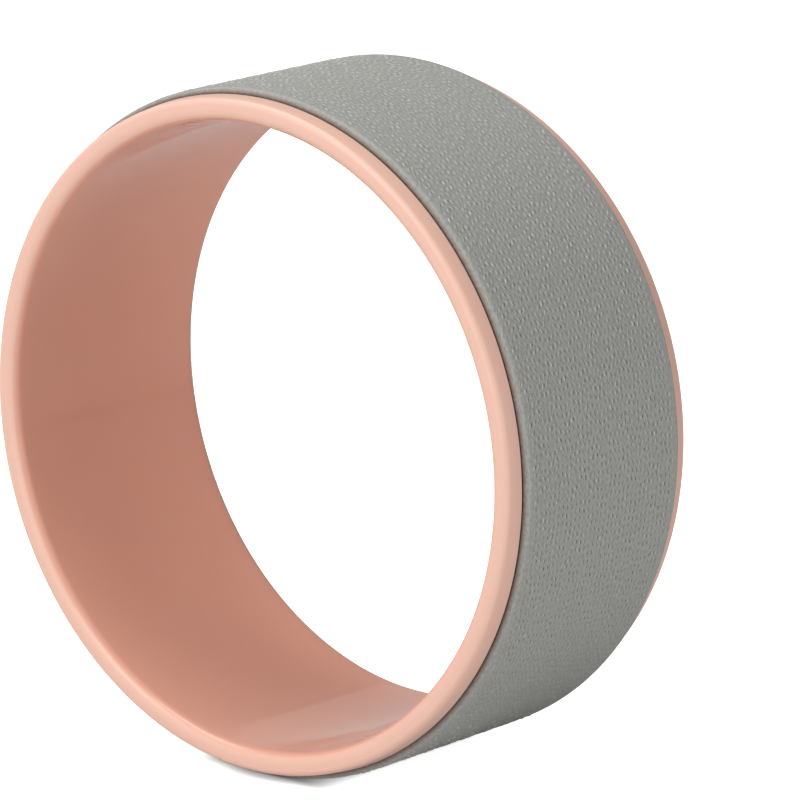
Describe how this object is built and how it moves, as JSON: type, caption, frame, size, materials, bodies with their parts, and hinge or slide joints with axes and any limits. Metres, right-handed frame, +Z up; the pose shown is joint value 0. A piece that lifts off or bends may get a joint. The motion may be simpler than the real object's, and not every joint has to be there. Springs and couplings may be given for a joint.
{
  "type": "yoga wheel",
  "caption": "Wide open hoop of glossy plastic with rounded rims, wrapped in an embossed foam grip strip; rolls on its tread and supports a back in stretching.",
  "frame": {"origin": "centre of the wheel, on the axis of its bore and midway between its two rims", "axes": "+Y along the wheel's axis, +Z up with the wheel standing on its tread, +X across"},
  "size_m": [0.32, 0.125, 0.32],
  "materials": {
    "hoop_plastic": "gloss",
    "glue": "satin",
    "pad_foam": "matte"
  },
  "bodies": {
    "root": {"hoop": "hoop_plastic", "glue_film": "glue", "foam_pad": "pad_foam"}
  },
  "joints": []
}
